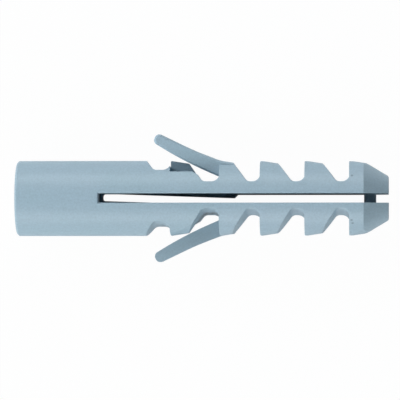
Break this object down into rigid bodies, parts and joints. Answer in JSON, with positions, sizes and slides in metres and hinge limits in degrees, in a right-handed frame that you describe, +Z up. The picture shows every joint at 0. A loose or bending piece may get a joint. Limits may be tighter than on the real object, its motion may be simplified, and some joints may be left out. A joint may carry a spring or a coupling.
{
  "type": "nylon expansion plug",
  "caption": "One-piece round wall plug: bored barrel, two slotted and toothed legs joined at a blunt tip, and two springy side wings.",
  "frame": {"origin": "centre of the flat mouth face, on the plug's long axis", "axes": "+X along the axis from the mouth to the slotted tip; the slot stands in the XZ plane and the wings spread along +Y and -Y; +Z up as the plug lies at rest on its barrel"},
  "size_m": [0.04, 0.0138, 0.0082],
  "materials": {
    "nylon": "satin as-moulded grey-blue nylon"
  },
  "bodies": {
    "root": {"plug_body": "nylon"}
  },
  "joints": []
}
